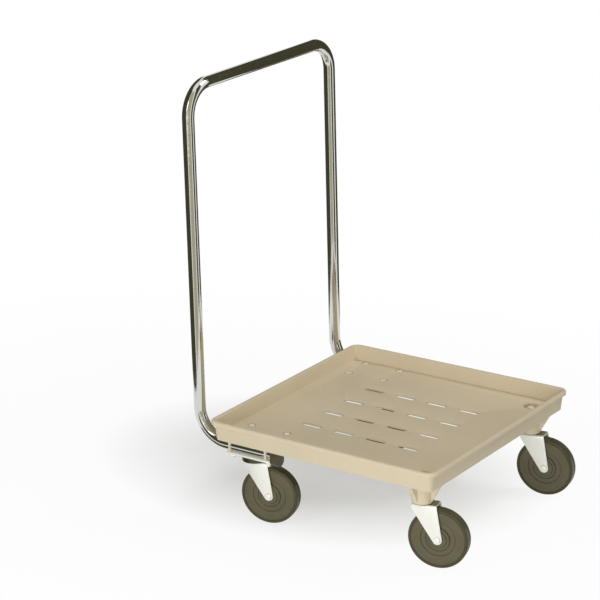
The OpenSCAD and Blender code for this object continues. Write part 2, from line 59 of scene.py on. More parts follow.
MM = 0.001
MERGE = 0.001 * MM
CREASE = math.radians(38)
BODY = "dolly"
REAR = ("rear_left", "rear_right")
FRONT = ("front_left", "front_right")
CASTERS = REAR + FRONT
SIDES = {"left": 1, "right": -1}
ORIGIN = Vector((0, 0, 0))
UP = Vector((0, 0, 1))
WHITE = (1.0, 1.0, 1.0)
VERT, EDGE, FACE = bmesh.types.BMVert, bmesh.types.BMEdge, bmesh.types.BMFace

# The 8 mm bolts and nuts, and the height of the heads on the rear plates' bolts
BOLT_R = 4 * MM
BOLT_PITCH = 1.25 * MM
BOLT_FLATS = 13 * MM
BOLT_HEAD = 5.3 * MM

# The tray's rib pitch and half web thickness, and how far a shape reaches into one that it joins
RIB_PITCH = 80 * MM
WEB_HALF = 2.5 * MM
SINK = 1 * MM

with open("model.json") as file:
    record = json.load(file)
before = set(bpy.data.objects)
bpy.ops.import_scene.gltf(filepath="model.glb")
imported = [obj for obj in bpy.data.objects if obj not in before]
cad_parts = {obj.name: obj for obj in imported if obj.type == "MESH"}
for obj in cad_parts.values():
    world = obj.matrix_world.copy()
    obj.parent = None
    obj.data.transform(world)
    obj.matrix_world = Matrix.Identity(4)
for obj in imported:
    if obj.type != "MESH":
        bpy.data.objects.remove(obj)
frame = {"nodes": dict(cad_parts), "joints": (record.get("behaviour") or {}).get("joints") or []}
cad_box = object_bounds()
JOINTS = {joint["name"]: joint for joint in frame["joints"]}


def display(red, green, blue):
    """A colour as a screen shows it, from 0 to 255, as the linear values that a shader takes."""
    parts = [part / 255 for part in (red, green, blue)]
    return tuple(part / 12.92 if part <= 0.04045 else ((part + 0.055) / 1.055) ** 2.4 for part in parts)


def length(name, description, millimetres):
    return FloatProperty(
        name=name, description=description, default=millimetres * MM, min=0.0, unit="LENGTH", precision=4
    )


def colour(name, description, *screen):
    return FloatVectorProperty(
        name=name, description=description, default=display(*screen), min=0.0, max=1.0, subtype="COLOR"
    )


def amount(name, description, default, unit="NONE"):
    return FloatProperty(name=name, description=description, default=default, min=0.0, unit=unit)


# Settings

class TraySettings(bpy.types.PropertyGroup):
    plastic: colour("Plastic", "Colour of the moulded tray", 226, 212, 185)
    edge_round: length("Edge rounding", "Rounding of the moulding's edges", 0.7)
    grain: length("Grain", "Size of the moulded surface's fine grain", 1.1)
    rib_t: length("Rib thickness", "Thickness of the stiffening ribs under the deck", 3)
    slot_l: length("Slot length", "Length of a drain slot in the deck", 50)
    slot_w: length("Slot width", "Width of a drain slot in the deck", 12)


class HandleSettings(bpy.types.PropertyGroup):
    tube_d: length("Tube diameter", "Outer diameter of the handle's tube", 25.4)
    top_bend: length("Top bend radius", "Radius of the two top corners, on the tube's middle", 64)
    low_bend: length("Low bend radius", "Radius of the two low corners, on the tube's middle", 70)
    cap_wall: length("Cap wall", "Wall of the vinyl caps on the tube's ends", 1.2)
    chrome: colour("Chrome", "Colour of the chrome plate", 214, 214, 209)
    vinyl: colour("Vinyl", "Colour of the tube caps", 66, 57, 28)


class CasterSettings(bpy.types.PropertyGroup):
    wheel_d: length("Wheel diameter", "Diameter of the wheels", 127)
    wheel_w: length("Tread width", "Width of the wheels' tread", 24)
    shoulder: length("Shoulder", "Rounding of the tread's shoulders", 3)
    tyre_t: length("Tyre thickness", "Thickness of the tyre on the wheel's rim", 6.5)
    trail: length("Trail", "Distance from the swivel axis to the axle", 35.3)
    fork_w: length("Fork width", "Width of the fork over its two legs", 34)
    fork_t: length("Fork sheet", "Thickness of the fork's sheet steel", 2.8)
    steps: IntProperty(name="Steps", description="Steps of a wheel's full turn", default=96, min=24, max=256)
    zinc: colour("Zinc", "Colour of the zinc-plated steel", 250, 250, 243)
    core: colour("Wheel core", "Colour of the wheels' cores", 93, 87, 60)
    tyre: colour("Tyre", "Colour of the tyres", 84, 79, 56)


class StageSettings(bpy.types.PropertyGroup):
    floor: colour("Floor", "Colour of the studio floor", 240, 245, 248)
    floor_r: amount("Floor radius", "Radius of the round floor", 14.0, "LENGTH")
    lens: amount("Lens", "Focal length of the camera", 140.19, "CAMERA")
    key: amount("Key light", "Power of the key light", 42.0, "POWER")
    top: amount("Top light", "Power of the light overhead", 60.0, "POWER")
    low: amount("Low light", "Power of the light near the floor", 54.0, "POWER")
    fill: amount("Fill light", "Strength of the light all round", 0.25)
    fill_tint: colour("Fill tint", "Colour of the light all round", 255, 249, 230)
    flag_r: amount("Flag radius", "Radius of the ring of flags", 1.15, "LENGTH")
    flag_h: amount("Flag height", "Height of the flags", 3.2, "LENGTH")
    dark_flag: colour("Dark flag", "Colour of the dark flags that metal reflects", 74, 72, 54)
    grey_flag: colour("Grey flag", "Colour of the grey flags that metal reflects", 186, 182, 158)


# Mesh tools

def mesh_of(bm, name):
    """Turns bm into a mesh, and frees it."""
    mesh = bpy.data.meshes.new(name)
    bm.to_mesh(mesh)
    bm.free()
    return mesh


def put(name, data):
    """Puts a new object in the scene."""
    made = bpy.data.objects.new(name, data)
    bpy.context.scene.collection.objects.link(made)
    return made


def finish_piece(bm, name, body, slot, node):
    """Makes a mesh object of bm, puts it on its body and in place of its CAD node."""
    mesh = mesh_of(bm, name)
    mesh.polygons.foreach_set("use_smooth", [True] * len(mesh.polygons))
    mesh.set_sharp_from_angle(angle=CREASE)
    piece = put(name, mesh)
    mesh.materials.append(material_for(slot))
    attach(piece, body)
    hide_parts(node)


def face_out(bm):
    """Turns the faces outwards."""
    bmesh.ops.recalc_face_normals(bm, faces=bm.faces)


def tidy(bm):
    """Merges doubles, and turns the faces outwards."""
    bmesh.ops.remove_doubles(bm, verts=bm.verts, dist=MERGE)
    face_out(bm)


def move(bm, matrix):
    """Moves bm, and gives it back."""
    bmesh.ops.transform(bm, matrix=matrix, space=Matrix.Identity(4), verts=bm.verts)
    return bm


def shift(x, y, z):
    """A move along the axes."""
    return Matrix.Translation((x, y, z))


def plumb(at, z=0.0):
    """The place at height z in line with a point."""
    return shift(at.x, at.y, z)


def turned(degrees, axis):
    """A turn about an axis through the origin."""
    return Matrix.Rotation(math.radians(degrees), 4, axis)


def add(bm, other):
    """Adds the shape other to bm, and frees it."""
    mesh = mesh_of(other, "joining")
    bm.from_mesh(mesh)
    bpy.data.meshes.remove(mesh)


def only(items, kind):
    """The verts, edges or faces among items."""
    return [item for item in items if isinstance(item, kind)]


def level(*heights):
    """A test for edges whose ends both lie at one of these heights."""
    return lambda edge: all(any(abs(vert.co.z - z) < MERGE for z in heights) for vert in edge.verts)


def beyond(radius):
    """A test for edges that lie at radius from Z or further out."""
    return lambda edge: all(vert.co.xy.length > radius - MERGE for vert in edge.verts)


def bevel(bm, geom, width, segments, affect="EDGES"):
    """Rounds edges, or the corners at vertices."""
    bmesh.ops.bevel(
        bm, geom=geom, offset=width, offset_type="OFFSET", segments=segments, profile=0.5, affect=affect,
        material=-1, clamp_overlap=True,
    )


def soften(bm, width, segments=2, angle=30, wanted=lambda edge: True):
    """Rounds the edges whose faces meet at more than angle."""
    limit = math.radians(angle)
    sharp = [edge for edge in bm.edges if edge.is_manifold and edge.calc_face_angle() > limit]
    bevel(bm, [edge for edge in sharp if wanted(edge)], width, segments)


def spin(bm, geom, centre, axis, angle, steps, rise=ORIGIN, closed=False):
    """Spins geom about an axis, and gives the last ring. A closed spin is a full turn."""
    return bmesh.ops.spin(
        bm, geom=geom, cent=centre, axis=axis, dvec=rise, angle=angle, steps=steps, use_merge=closed,
        use_duplicate=False,
    )["geom_last"]


def lathe(outline, steps):
    """Spins (radius, height) points about Z. An outline with both ends on the axis stays open there."""
    bm = bmesh.new()
    verts = [bm.verts.new((radius, 0.0, z)) for radius, z in outline]
    on_axis = outline[0][0] == 0 and outline[-1][0] == 0
    pairs = list(zip(verts, verts[1:]))
    if not on_axis:
        pairs.append((verts[-1], verts[0]))
    edges = [bm.edges.new(pair) for pair in pairs]
    spin(bm, verts + edges, ORIGIN, UP, math.tau, steps, closed=True)
    tidy(bm)
    return bm


def pillar(radius, low, high, steps):
    """A round bar about Z between two heights."""
    return lathe([(0, low), (radius, low), (radius, high), (0, high)], steps)


def collar(inner, outer, low, high, steps):
    """A ring about Z between two heights."""
    return lathe([(inner, low), (outer, low), (outer, high), (inner, high)], steps)


def mirrored(outline):
    """The other half of an outline that is the same on both sides of Z = 0."""
    return [(radius, -z) for radius, z in reversed(outline)]


def thicken(bm, vector):
    """Extrudes flat faces along vector into a closed block."""
    made = bmesh.ops.extrude_face_region(bm, geom=bm.faces[:])["geom"]
    bmesh.ops.translate(bm, verts=only(made, VERT), vec=vector)
    face_out(bm)


def run(bm, ring, vector):
    """Extrudes a ring of verts and edges along vector, and gives the new ring."""
    made = bmesh.ops.extrude_edge_only(bm, edges=only(ring, EDGE))["geom"]
    verts = only(made, VERT)
    bmesh.ops.translate(bm, verts=verts, vec=vector)
    edges = [e for face in only(made, FACE) for e in face.edges if all(v in verts for v in e.verts)]
    return verts + edges


def turn(bm, ring, centre, axis, steps=20):
    """Spins a ring by a quarter turn, and gives the new ring."""
    return spin(bm, ring, centre, axis, math.radians(90), steps)


def tube_end(bm, place, radius, segments):
    """Starts a tube along X at a place, and gives its open ring."""
    across = Matrix.Translation(place) @ turned(90, "Y")
    bmesh.ops.create_circle(bm, cap_ends=False, radius=radius, segments=segments, matrix=across)
    return bm.verts[:] + bm.edges[:]


def close_tube(bm):
    """Fills the two open ends of a tube."""
    bmesh.ops.holes_fill(bm, edges=bm.edges, sides=0)
    tidy(bm)


def sheet(centre, size_x, size_y):
    """A flat rectangle about a centre."""
    bm = bmesh.new()
    bmesh.ops.create_grid(bm, x_segments=1, y_segments=1, size=0.5)
    return move(bm, Matrix.Translation(centre) @ Matrix.Diagonal((size_x, size_y, 1, 1)))


def slab(low, high):
    """A block between two corners."""
    bm = bmesh.new()
    bmesh.ops.create_cube(bm, size=1.0)
    low, high = Vector(low), Vector(high)
    return move(bm, Matrix.Translation((low + high) / 2) @ Matrix.Diagonal((*(high - low), 1)))


def carve(body, cutters):
    """Joins the shells of body into one, and cuts the cutters out of it."""
    pair = [put("carving", mesh_of(bm, "carving")) for bm in (body, cutters)]
    cut = pair[0].modifiers.new("cut", "BOOLEAN")
    cut.operation = "DIFFERENCE"
    cut.solver = "EXACT"
    cut.use_self = True
    cut.object = pair[1]
    bm = bmesh.new()
    bm.from_object(pair[0], bpy.context.evaluated_depsgraph_get())
    for shape in pair:
        bpy.data.meshes.remove(shape.data)
    bmesh.ops.remove_doubles(bm, verts=bm.verts, dist=MERGE)
    bmesh.ops.triangulate(bm, faces=[face for face in bm.faces if len(face.verts) > 4])
    return bm


def hex_block(flats, height, bore=0.0):
    """A hexagon block from Z = 0 up, its ends turned off round, and countersunk for a bore."""
    bm = bmesh.new()
    bmesh.ops.create_circle(bm, cap_ends=True, radius=flats / math.sqrt(3), segments=6)
    bmesh.ops.subdivide_edges(bm, edges=bm.edges[:], cuts=5)
    thicken(bm, UP * height)
    turned_r = 0.47 * flats
    slope = math.tan(math.radians(30))
    countersink = ((1.16 * bore, 0.0), (0.98 * bore, 0.18 * bore)) if bore else ()
    for end, way in ((0.0, 1), (height, -1)):
        flat = [face for face in bm.faces if abs(face.normal.z) > 0.99]
        face = next(face for face in flat if abs(face.calc_center_median().z - end) < MERGE)
        outer = list(face.verts)
        bmesh.ops.inset_individual(bm, faces=[face], thickness=0.02 * flats)
        for vert in face.verts:
            vert.co.xy = vert.co.xy.normalized() * turned_r
        for vert in outer:
            vert.co.z += way * (vert.co.xy.length - turned_r) * slope
        for radius, depth in countersink:
            bmesh.ops.inset_individual(bm, faces=[face], thickness=0.01 * flats)
            for vert in face.verts:
                vert.co.xy = vert.co.xy.normalized() * radius
                vert.co.z += way * depth
    face_out(bm)
    return bm


def threaded_rod(radius, pitch, low, high, steps=24):
    """A rod with a real screw thread between two heights."""
    bm = bmesh.new()
    start = low - 2 * pitch
    root = radius - 0.6 * pitch
    outline = ((root, 0), (radius, 0.5), (root, 1))
    verts = [bm.verts.new((r, 0.0, start + rise * pitch)) for r, rise in outline]
    edges = [bm.edges.new(pair) for pair in zip(verts, verts[1:])]
    turns = math.ceil((high - start) / pitch) + 2
    spin(bm, verts + edges, ORIGIN, UP, math.tau * turns, steps * turns, rise=UP * (pitch / steps))
    bmesh.ops.remove_doubles(bm, verts=bm.verts, dist=0.01 * MM)
    for height, side in ((low, -1), (high, 1)):
        whole = bm.verts[:] + bm.edges[:] + bm.faces[:]
        cut = bmesh.ops.bisect_plane(
            bm, geom=whole, dist=MERGE, plane_co=UP * height, plane_no=UP * side, clear_outer=True
        )
        bmesh.ops.edgeloop_fill(bm, edges=only(cut["geom_cut"], EDGE))
    face_out(bm)
    return bm


# Places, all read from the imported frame

def swivel(caster):
    """The place of a caster: its swivel axis on the floor, turned as the caster stands."""
    centre = Vector(JOINTS[f"{caster}_swivel_turn"]["pos_m"])
    axis = Vector(JOINTS[f"{caster}_wheel_spin"]["axis"])
    return shift(centre.x, centre.y, 0) @ Matrix.Rotation(math.atan2(-axis.x, axis.y), 4, "Z")


def axle(caster):
    """The place of a wheel: Z runs along the axle, out to the bolt's head."""
    settings = bpy.context.scene.dolly_casters
    return swivel(caster) @ shift(settings.trail, 0, settings.wheel_d / 2) @ turned(90, "X")


def middle(node):
    """The middle of a node's box."""
    low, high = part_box(node)
    return (low + high) / 2


def plate_bolts(caster):
    """The four bolt places of a rear plate, from the box round its nuts."""
    low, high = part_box(f"{caster}_plate_nuts")
    half_x = BOLT_FLATS / math.sqrt(3)
    half_y = BOLT_FLATS / 2
    rows = (low.y + half_y, high.y - half_y)
    return [Vector((x, y, 0)) for x in (low.x + half_x, high.x - half_x) for y in rows]


# Materials

def add_node(tree, kind, *sources, **values):
    """Adds a shader node, with its values set by name and its first inputs linked to sources."""
    made = tree.nodes.new(f"ShaderNode{kind}")
    for key, value in values.items():
        if key in made.inputs:
            made.inputs[key].default_value = value
        else:
            setattr(made, key, value)
    for source, socket in zip(sources, made.inputs):
        tree.links.new(source, socket)
    return made


class Finish:
    """A node material in the making, on Object coordinates in metres."""

    def __init__(self, name):
        self.material = bpy.data.materials.new(name)
        self.material.use_nodes = True
        self.tree = self.material.node_tree
        self.surface = self.tree.nodes["Principled BSDF"]
        self.place = self.node("TexCoord").outputs["Object"]

    def node(self, kind, *sources, **values):
        return add_node(self.tree, kind, *sources, **values)

    def link(self, source, socket):
        self.tree.links.new(source, socket)

    def stretched(self, scale):
        return self.node("Mapping", self.place, Scale=scale).outputs["Vector"]

    def noise(self, scale, detail=3.0, roughness=0.5, place=None):
        made = self.node("TexNoise", place or self.place, Scale=scale, Detail=detail, Roughness=roughness)
        return made.outputs["Fac"]

    def cells(self, scale):
        made = self.node("TexVoronoi", self.place, Scale=scale)
        return made.outputs["Distance"], made.outputs["Color"]

    def height(self):
        return self.node("SeparateXYZ", self.place).outputs["Z"]

    def spread(self, source, low, high, to_low=0.0, to_high=1.0):
        """Spreads the part of source between low and high over a new range."""
        ends = {"From Min": low, "From Max": high, "To Min": to_low, "To Max": to_high}
        return self.node("MapRange", source, **ends).outputs["Result"]

    def joined(self, operation, first, second):
        """The sum, product or the like of two sockets."""
        return self.node("Math", first, second, operation=operation).outputs[0]

    def blend(self, factor, first, second):
        """Blends two colours, each a value or a socket."""
        made = self.node("Mix", factor, data_type="RGBA")
        colours = [socket for socket in made.inputs if socket.type == "RGBA"]
        for socket, value in zip(colours, (first, second)):
            if isinstance(value, bpy.types.NodeSocket):
                self.link(value, socket)
            else:
                socket.default_value = (*value, 1.0)
        return next(socket for socket in made.outputs if socket.type == "RGBA")

    def bump(self, source, depth, strength=1.0, over=None):
        """Raises source by depth, over another bump where one is given."""
        made = self.node("Bump", Distance=depth, Strength=strength)
        self.link(source, made.inputs["Height"])
        if over:
            self.link(over, made.inputs["Normal"])
        return made.outputs["Normal"]

    def set(self, **values):
        """Sets the shader's own sockets, each to a value or a link."""
        for key, value in values.items():
            socket = self.surface.inputs[key.replace("_", " ")]
            if isinstance(value, bpy.types.NodeSocket):
                self.link(value, socket)
            else:
                socket.default_value = value
        return self.material

    def glow(self, tone):
        """Light of one plain colour."""
        return self.node("Emission", Strength=1.0, Color=(*tone, 1.0)).outputs[0]

    def show(self, shader):
        """Makes shader what the material shows."""
        self.link(shader, self.tree.nodes["Material Output"].inputs["Surface"])


def plain_rays(tree):
    """1 for rays that see plain white behind: the camera's, and those off metal and through glass."""
    path = add_node(tree, "LightPath")
    seen = path.outputs["Is Camera Ray"]
    for ray in ("Is Glossy Ray", "Is Transmission Ray"):
        seen = add_node(tree, "Math", seen, path.outputs[ray], operation="MAXIMUM").outputs[0]
    return seen


def shade(base, factor):
    """A darker or lighter tone of a colour."""
    return tuple(min(part * factor, 1.0) for part in base)


def moulded_plastic(name, base, grain, top):
    """Matt moulded plastic: fine grain, faint flow marks, scuffs where things slide over its top edge."""
    finish = Finish(name)
    flow = finish.spread(finish.noise(5.0, 4.0, 0.55), 0.3, 0.7)
    body = finish.blend(flow, shade(base, 0.955), shade(base, 1.02))
    streaks = finish.noise(60.0, 6.0, 0.7, finish.stretched((1.0, 1.0, 5.0)))
    scuffs = finish.spread(streaks, 0.58, 0.72, 0.0, 0.75)
    near_top = finish.spread(finish.height(), top - 5 * MM, top - 0.5 * MM)
    worn = finish.joined("MULTIPLY", scuffs, near_top)
    tint = finish.blend(worn, body, shade(base, 1.16))
    specks = finish.spread(finish.noise(900.0, 2.0, 0.5), 0.66, 0.78, 0.0, 0.35)
    tint = finish.blend(specks, tint, shade(base, 0.72))
    pebbles, _ = finish.cells(1.0 / grain)
    fine = finish.bump(finish.spread(pebbles, 0.0, 0.7), 0.05 * MM, 0.55)
    waves = finish.bump(finish.noise(22.0, 2.0), 0.25 * MM, 0.35, fine)
    rough = finish.spread(finish.noise(35.0, 4.0), 0.3, 0.7, 0.46, 0.6)
    return finish.set(Base_Color=tint, Roughness=rough, Normal=waves, Specular_IOR_Level=0.16)


def chrome_plate(name, base):
    """Bright chrome: faint ripples, fine hairlines and hazy patches."""
    finish = Finish(name)
    haze = finish.spread(finish.noise(14.0, 5.0, 0.6), 0.4, 0.75)
    tint = finish.blend(haze, base, shade(base, 0.93))
    rough = finish.spread(finish.noise(90.0, 5.0, 0.65), 0.35, 0.8, 0.05, 0.15)
    drawn = finish.noise(420.0, 3.0, 0.6, finish.stretched((1.0, 1.0, 0.08)))
    hairlines = finish.bump(drawn, 0.01 * MM, 0.06)
    ripples = finish.bump(finish.noise(24.0, 1.0), 0.06 * MM, 0.12, hairlines)
    return finish.set(Base_Color=tint, Metallic=1.0, Roughness=rough, Normal=ripples)


def plated_steel(name, base, low, high, spangle, metal=1.0, contrast=1.0, shade_z=None):
    """Zinc plate, bare steel or bronze: soft spangles, cloudy sheen, small pits, and painted shade at one
    height, darkening the fork crowns' tops as the cups' shade would.
    """
    finish = Finish(name)
    distance, cell = finish.cells(spangle)
    grey = finish.spread(cell, 0.0, 1.0)
    tint = finish.blend(grey, shade(base, 1 - 0.08 * contrast), shade(base, 1 + 0.03 * contrast))
    cloud = finish.spread(finish.noise(45.0, 5.0, 0.6), 0.42, 0.78, 0.0, 0.5 * contrast)
    tint = finish.blend(cloud, tint, shade(base, 0.86))
    if shade_z is not None:
        # Painted shade: a patchy dark olive band on the faces at this height (the fork crowns' tops),
        # standing in for the shade under the bearing cups
        above = finish.spread(finish.height(), shade_z - 0.9 * MM, shade_z - 0.2 * MM)
        below = finish.spread(finish.height(), shade_z + 0.3 * MM, shade_z + 0.5 * MM, 1.0, 0.0)
        shade_patchiness = finish.spread(finish.noise(40.0), 0.3, 0.7, 0.75, 1.0)
        painted_shade = finish.joined("MULTIPLY", finish.joined("MULTIPLY", above, below), shade_patchiness)
        tint = finish.blend(painted_shade, tint, display(132, 126, 100))
    rough = finish.spread(finish.noise(120.0, 4.0, 0.6), 0.3, 0.75, low, high)
    pits = finish.bump(finish.noise(900.0, 2.0), 0.01 * MM, 0.08)
    skin = finish.bump(distance, 0.02 * MM, 0.04, pits)
    return finish.set(Base_Color=tint, Metallic=metal, Roughness=rough, Normal=skin)


def rubbery(name, base, low, high, dust, gloss=0.5):
    """Solid rubber, vinyl or wheel plastic: matt bloom, fine grain and specks of dust."""
    finish = Finish(name)
    bloom = finish.spread(finish.noise(26.0, 5.0, 0.6), 0.35, 0.7)
    tint = finish.blend(bloom, shade(base, 0.9), shade(base, 1.06))
    specks = finish.spread(finish.noise(240.0, 5.0, 0.7), 0.6, 0.74, 0.0, dust)
    tint = finish.blend(specks, tint, display(158, 152, 132))
    rough = finish.spread(finish.noise(70.0, 4.0), 0.3, 0.7, low, high)
    grain = finish.bump(finish.noise(1400.0, 3.0), 0.02 * MM, 0.4)
    waves = finish.bump(finish.noise(60.0, 2.0), 0.08 * MM, 0.25, grain)
    return finish.set(Base_Color=tint, Roughness=rough, Normal=waves, Specular_IOR_Level=gloss)


def material_for(slot):
    """The finish of one of the record's material slots, made when it is first asked for."""
    name = f"{slot}_finish"
    if name in bpy.data.materials:
        return bpy.data.materials[name]
    scene = bpy.context.scene
    tray, handle, casters = scene.dolly_tray, scene.dolly_handle, scene.dolly_casters
    rim_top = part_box("tray")[1].z
    crown_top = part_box("front_left_fork")[1].z
    make, *values = {
        "tray_plastic": (moulded_plastic, tray.plastic, tray.grain, rim_top),
        "chrome_tube": (chrome_plate, handle.chrome),
        # crown_top is the height of the painted shade on the fork crowns
        "zinc": (plated_steel, casters.zinc, 0.28, 0.42, 230.0, 0.22, 0.3, crown_top),
        "race_steel": (plated_steel, display(84, 79, 62), 0.3, 0.46, 400.0),
        "ball_steel": (plated_steel, display(205, 206, 205), 0.06, 0.12, 900.0),
        "bushing_bronze": (plated_steel, display(176, 148, 98), 0.32, 0.48, 700.0),
        "vinyl": (rubbery, handle.vinyl, 0.28, 0.42, 0.08),
        "wheel_plastic": (rubbery, casters.core, 0.3, 0.44, 0.1),
        "wheel_rubber": (rubbery, casters.tyre, 0.3, 0.44, 0.12, 0.16),
    }[slot]
    return make(name, *values)


# Operators

class DOLLY_OT_tray(bpy.types.Operator):
    """Moulded tray: rolled rim and leaning wall, slotted deck, ribs, front bosses with gussets, tube webs"""

    bl_idname = "dolly.tray"
    bl_label = "Moulded tray"

    def execute(self, context):
        deck_depth, deck_t, skirt_depth, rim_reach = 32 * MM, 4 * MM, 44.5 * MM, 15 * MM
        settings = context.scene.dolly_tray
        low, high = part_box("tray")
        self.middle = shift((low.x + high.x) / 2, 0, 0)
        self.rim_half = high.y
        self.rim_z = high.z
        self.foot_z = low.z
        self.deck_z = high.z - deck_depth
        self.deck_under = self.deck_z - deck_t
        self.skirt_z = high.z - skirt_depth
        self.bay_half = self.rim_half - rim_reach
        body = self.wall()
        for shell in (self.deck(), *self.ribs(settings.rib_t), *self.bosses(), *self.webs()):
            add(body, shell)
        finish_piece(carve(body, self.hollows(settings)), "moulded_tray", BODY, "tray_plastic", "tray")
        return {"FINISHED"}

    def wall(self):
        """The wall and its rolled rim: one section, run along each side and turned round each corner."""
        corner_r, rim_w, rim_depth, fillet = 22 * MM, 10 * MM, 9.5 * MM, 1.2 * MM
        foot_u, top_u = corner_r - 11 * MM, corner_r - 7 * MM
        corner = self.rim_half - corner_r
        bay_u = self.bay_half - corner
        rim_under = self.rim_z - rim_depth
        arc = [
            (bay_u - fillet * (1 - math.cos(angle)), self.deck_z + fillet * (1 - math.sin(angle)))
            for angle in map(math.radians, (0, 22.5, 45, 67.5, 90))
        ]
        section = [
            (bay_u, self.skirt_z), (foot_u, self.skirt_z), (top_u, rim_under), (corner_r, rim_under),
            (corner_r, self.rim_z), (corner_r - rim_w, self.rim_z), *arc,
            (bay_u - fillet, self.deck_z - SINK), (bay_u, self.deck_z - 2 * SINK),
        ]
        bm = bmesh.new()
        verts = [bm.verts.new((corner + u, -corner, z)) for u, z in section]
        ring = verts + [bm.edges.new(pair) for pair in zip(verts, verts[1:] + verts[:1])]
        for quarter in range(4):
            facing = turned(90 * quarter, "Z")
            ring = run(bm, ring, facing @ Vector((0, 2 * corner, 0)))
            ring = turn(bm, ring, facing @ Vector((corner, corner, 0)), UP, 10)
        tidy(bm)
        soften(bm, 3.5 * MM, 5, 50, level(self.rim_z))
        soften(bm, fillet, 3, 40, level(self.skirt_z, rim_under))
        return move(bm, self.middle)

    def deck(self):
        """The deck's plate, which reaches into the wall."""
        half = self.bay_half + 1.5 * MM
        bm = slab((-half, -half, self.deck_under), (half, half, self.deck_z))
        upright = [edge for edge in bm.edges if abs(edge.verts[0].co.z - edge.verts[1].co.z) > MERGE]
        bevel(bm, upright, 9 * MM, 8)
        return move(bm, self.middle)

    def ribs(self, thickness):
        """Stiffening ribs under the deck, both ways, a little thinner at their lower edges."""
        thinner = 0.8
        half = self.bay_half + SINK
        top = self.deck_under + SINK
        for degrees in (0, 90):
            for number in range(-2, 3):
                bm = slab((-thickness / 2, -half, self.skirt_z), (thickness / 2, half, top))
                for vert in bm.verts:
                    if vert.co.z < self.skirt_z + MERGE:
                        vert.co.x *= thinner
                soften(bm, 0.5 * MM, 2, 50, level(self.skirt_z))
                place = turned(degrees, "Z") @ shift(number * RIB_PITCH, 0, 0)
                yield move(bm, self.middle @ place)

    def bosses(self):
        """Round bosses over the front casters, each with two long and two short gussets."""
        boss_r, short = 22.5 * MM, 30 * MM
        short_z = self.foot_z + 5 * MM
        for caster in FRONT:
            at = middle(f"{caster}_stem")
            bm = pillar(boss_r, self.foot_z, self.deck_under + 2 * SINK, 64)
            soften(bm, 0.8 * MM, 3, 50, level(self.foot_z))
            yield move(bm, plumb(at))
            outward = math.copysign(90, at.y)
            to_front = self.bay_half + self.middle.translation.x - at.x + SINK
            to_side = self.bay_half - abs(at.y) + SINK
            for degrees, reach, outer_z in (
                (0, to_front, self.skirt_z), (outward, to_side, self.skirt_z), (180, short, short_z),
                (-outward, short, short_z),
            ):
                yield move(self.gusset(boss_r, reach, outer_z), plumb(at) @ turned(degrees, "Z"))

    def gusset(self, boss_r, reach, outer_z):
        """A gusset that stands out along X from the middle of its boss, and rises to outer_z."""
        top = self.deck_under + SINK
        foot = self.foot_z + 2 * MM
        outline = ((0, top), (0, foot), (boss_r - SINK, foot), (reach, outer_z), (reach, top))
        bm = bmesh.new()
        bm.faces.new([bm.verts.new((x, -WEB_HALF, z)) for x, z in outline])
        thicken(bm, (0, 2 * WEB_HALF, 0))
        soften(bm, 0.7 * MM, 2, 30, lambda edge: abs(edge.verts[0].co.y - edge.verts[1].co.y) < MERGE
               and all(vert.co.x > boss_r / 2 and vert.co.z < top - MERGE for vert in edge.verts))
        return bm

    def webs(self):
        """Webs that carry the tube at the plate bolts, with a round boss over each bolt."""
        boss_r, inward, outward = 11 * MM, 17.7 * MM, 3.6 * MM
        tube_r = bpy.context.scene.dolly_handle.tube_d / 2
        top = self.deck_under + SINK
        for caster in REAR:
            side = SIDES[caster.removeprefix("rear_")]
            plate_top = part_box(f"{caster}_plate")[1].z
            tube_y = side * (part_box("push_handle")[1].y - tube_r)
            near_y, far_y = sorted((tube_y - side * inward, side * (self.bay_half + outward)))
            for at in plate_bolts(caster):
                over_tube = abs(at.y - tube_y) < 1 * MM
                foot = plate_top + (tube_r if over_tube else 0)
                bm = pillar(boss_r, foot, top, 48)
                soften(bm, 0.6 * MM, 2, 50, level(foot))
                yield move(bm, plumb(at))
                if over_tube:
                    bm = slab((at.x - WEB_HALF, near_y, plate_top), (at.x + WEB_HALF, far_y, top))
                    soften(bm, 0.8 * MM, 2, 50, lambda edge: any(
                        vert.co.z < plate_top + MERGE for vert in edge.verts))
                    yield bm

    def plug(self, radius, low, high, flare, steps):
        """A round cutter that flares out at the deck's top face, to round the hole's mouth."""
        mouth = [
            (radius + flare * (1 - math.cos(angle)), self.deck_z - flare * (1 - math.sin(angle)))
            for angle in map(math.radians, (0, 30, 60, 90)) if flare
        ]
        return lathe([(0, low), (radius, low), *mouth, (radius + flare, high), (0, high)], steps)

    def hollows(self, settings):
        """What is cut out: drain slots, bolt recesses, stem pockets, cup seats and the tube's channels."""
        cutters = bmesh.new()
        slot_r, reach = settings.slot_w / 2, 8 * MM
        for x in range(-2, 2):
            for y in range(-2, 2):
                bm = self.plug(slot_r, self.deck_z - reach, self.deck_z + reach, settings.edge_round, 24)
                for vert in bm.verts:
                    if abs(vert.co.x) > MERGE:
                        vert.co.x += math.copysign(settings.slot_l / 2 - slot_r, vert.co.x)
                place = shift((x + 0.5) * RIB_PITCH, (y + 0.5) * RIB_PITCH, 0)
                add(cutters, move(bm, self.middle @ place))
        recess_r, recess_round = 9 * MM, 0.4 * MM
        pocket_r, stem_hole_r, cup_seat_r = 17 * MM, 6.65 * MM, 17.55 * MM
        holes = []
        for caster in REAR:
            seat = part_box(f"{caster}_plate_bolts")[1].z - BOLT_HEAD
            holes += [(at, recess_r, seat, self.rim_z, recess_round) for at in plate_bolts(caster)]
        for caster in FRONT:
            at = middle(f"{caster}_stem")
            cup_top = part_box(f"{caster}_race_cup")[1].z
            holes += [
                (at, pocket_r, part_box(f"{caster}_stem_washer")[0].z, self.rim_z, settings.edge_round),
                (at, stem_hole_r, cup_top - SINK, self.deck_z, 0),
                (at, cup_seat_r, self.foot_z - SINK, cup_top, 0),
            ]
        for at, radius, low, high, flare in holes:
            add(cutters, move(self.plug(radius, low, high, flare, 48), plumb(at)))
        for side in SIDES:
            add(cutters, self.channel(side))
            add(cutters, self.cap_room(side))
        return cutters

